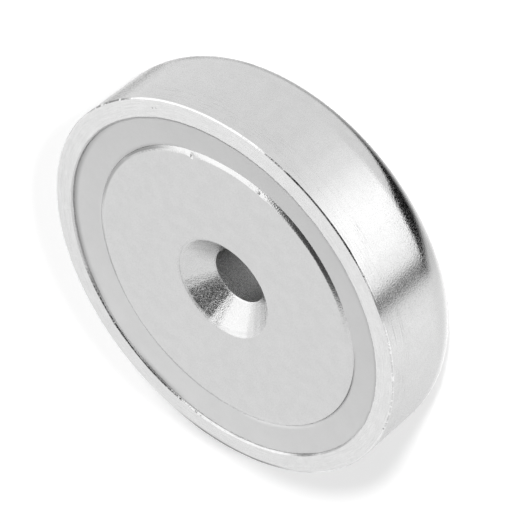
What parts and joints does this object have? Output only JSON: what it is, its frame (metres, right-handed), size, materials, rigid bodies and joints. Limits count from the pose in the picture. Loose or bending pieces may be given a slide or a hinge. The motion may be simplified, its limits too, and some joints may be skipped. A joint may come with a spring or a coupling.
{
  "type": "pot magnet",
  "caption": "Round countersunk pot magnet: a plated ring magnet potted in a steel cup, holding flat steel at its open face and fixed by a countersunk screw.",
  "frame": {"origin": "centre of the pot's closed back, on the screw's axis", "axes": "+Z along the screw's axis, out of the magnet's face; the part is round, so +X and +Y are any two directions across it"},
  "size_m": [0.06, 0.06, 0.015],
  "materials": {
    "pot_nickel": "satin nickel plate over turned steel",
    "magnet_nickel": "satin nickel plate over sintered magnet",
    "resin": "cast resin, pale grey, satin"
  },
  "bodies": {
    "root": {"steel_pot": "pot_nickel", "ring_magnet": "magnet_nickel", "potting_resin": "resin"}
  },
  "joints": []
}
